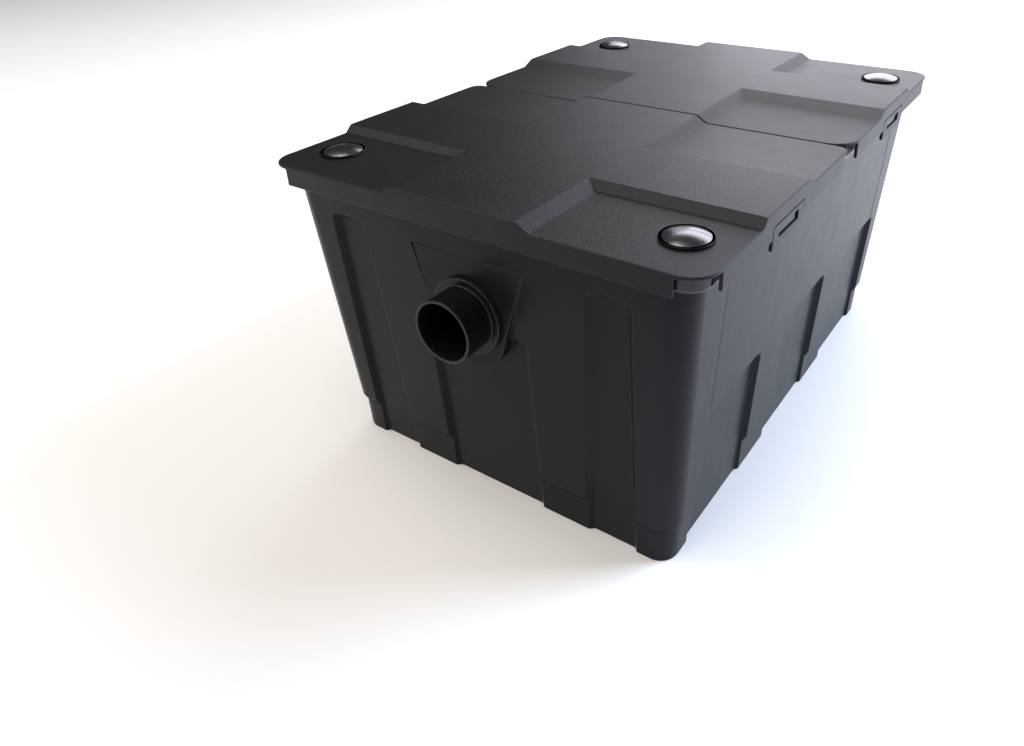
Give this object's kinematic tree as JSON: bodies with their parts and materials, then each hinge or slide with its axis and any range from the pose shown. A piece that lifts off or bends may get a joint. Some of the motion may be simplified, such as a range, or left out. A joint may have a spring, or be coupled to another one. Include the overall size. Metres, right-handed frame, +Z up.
{
  "type": "multi-chamber pond filter",
  "caption": "Box-shaped flow-through pond filter: tapered tank, two-part latched lid with chrome caps, pipe outlet, hose inlet, and brush, foam and bio-ball chambers inside.",
  "frame": {"origin": "centre of the tank's underside, on the ground", "axes": "+Z up; +Y along the long side, from the pipe outlet towards the hose inlet; +X to the right, seen from the outlet end"},
  "size_m": [0.573, 0.892, 0.41],
  "materials": {
    "tank_plastic": "satin moulded, faint upright draw marks",
    "lid_plastic": "fine moulded grain on top, satin on the skirt",
    "fitting_plastic": "smooth injection moulded",
    "collar_plastic": "smooth",
    "inner_plastic": "plain moulded",
    "ball_plastic": "plain moulded",
    "black_rubber": "matt",
    "chrome_cap": "bright pressed",
    "stainless_steel": "drawn",
    "green_bristle": "stiff bristle",
    "blue_foam": "open-cell foam"
  },
  "bodies": {
    "filter_tank": {"tank": "tank_plastic", "centre_bar": "tank_plastic", "rim_seal": "black_rubber", "outlet_pipe": "fitting_plastic", "outlet_gasket": "black_rubber", "outlet_lock_nut": "fitting_plastic", "outlet_strainer": "inner_plastic", "inlet_bulkhead": "fitting_plastic", "inlet_gasket": "black_rubber", "inlet_lock_nut": "fitting_plastic", "inlet_o_ring": "black_rubber", "inlet_hose_tail": "fitting_plastic", "drain_bulkhead": "fitting_plastic", "drain_gasket": "black_rubber", "drain_lock_nut": "fitting_plastic", "rear_baffle": "inner_plastic", "front_weir": "inner_plastic", "brush_rack": "inner_plastic", "brush_rods": "stainless_steel", "brush_bristles": "green_bristle", "foam_support_grid": "inner_plastic", "foam_grid_legs": "inner_plastic", "foam_base_plates": "inner_plastic", "foam_pull_rods": "inner_plastic", "foam_block_1": "blue_foam", "foam_block_2": "blue_foam", "foam_block_3": "blue_foam", "foam_block_4": "blue_foam", "bio_balls": "ball_plastic"},
    "front_lid_body": {"front_lid": "lid_plastic", "front_left_dome_cap": "chrome_cap", "front_right_dome_cap": "chrome_cap", "front_lid_cap_collars": "collar_plastic", "front_lid_screws": "stainless_steel"},
    "rear_lid_body": {"rear_lid": "lid_plastic", "rear_left_dome_cap": "chrome_cap", "rear_right_dome_cap": "chrome_cap", "rear_lid_cap_collars": "collar_plastic", "rear_lid_screws": "stainless_steel"},
    "front_left_latch_body": {"front_left_latch": "lid_plastic"},
    "front_right_latch_body": {"front_right_latch": "lid_plastic"},
    "rear_left_latch_body": {"rear_left_latch": "lid_plastic"},
    "rear_right_latch_body": {"rear_right_latch": "lid_plastic"},
    "union_nut_body": {"inlet_union_nut": "fitting_plastic"},
    "drain_cap_body": {"drain_cap": "fitting_plastic", "drain_cap_seal": "black_rubber"}
  },
  "joints": [
    {"name": "front_lid_lift", "type": "slide", "parent": "filter_tank", "child": "front_lid_body", "axis": [0, 0, 1], "range_m": [0, 0.25]},
    {"name": "rear_lid_lift", "type": "slide", "parent": "filter_tank", "child": "rear_lid_body", "axis": [0, 0, 1], "range_m": [0, 0.25]},
    {"name": "front_left_latch_flex", "type": "hinge", "parent": "front_lid_body", "child": "front_left_latch_body", "pos_m": [-0.2845, -0.195, 0.3896], "axis": [0, 1, 0], "range_deg": [0, 10], "stiffness_Nm_per_rad": 0.6},
    {"name": "front_right_latch_flex", "type": "hinge", "parent": "front_lid_body", "child": "front_right_latch_body", "pos_m": [0.2845, -0.195, 0.3896], "axis": [0, -1, 0], "range_deg": [0, 10], "stiffness_Nm_per_rad": 0.6},
    {"name": "rear_left_latch_flex", "type": "hinge", "parent": "rear_lid_body", "child": "rear_left_latch_body", "pos_m": [-0.2845, 0.195, 0.3896], "axis": [0, 1, 0], "range_deg": [0, 10], "stiffness_Nm_per_rad": 0.6},
    {"name": "rear_right_latch_flex", "type": "hinge", "parent": "rear_lid_body", "child": "rear_right_latch_body", "pos_m": [0.2845, 0.195, 0.3896], "axis": [0, -1, 0], "range_deg": [0, 10], "stiffness_Nm_per_rad": 0.6},
    {"name": "union_nut_turn", "type": "hinge", "parent": "filter_tank", "child": "union_nut_body", "pos_m": [0, 0.41, 0.271], "axis": [0, 1, 0], "range_deg": [0, 1080]},
    {"name": "drain_cap_turn", "type": "hinge", "parent": "filter_tank", "child": "drain_cap_body", "pos_m": [0.104, 0.38, 0.098], "axis": [0, 1, 0], "range_deg": [0, 1080]}
  ]
}
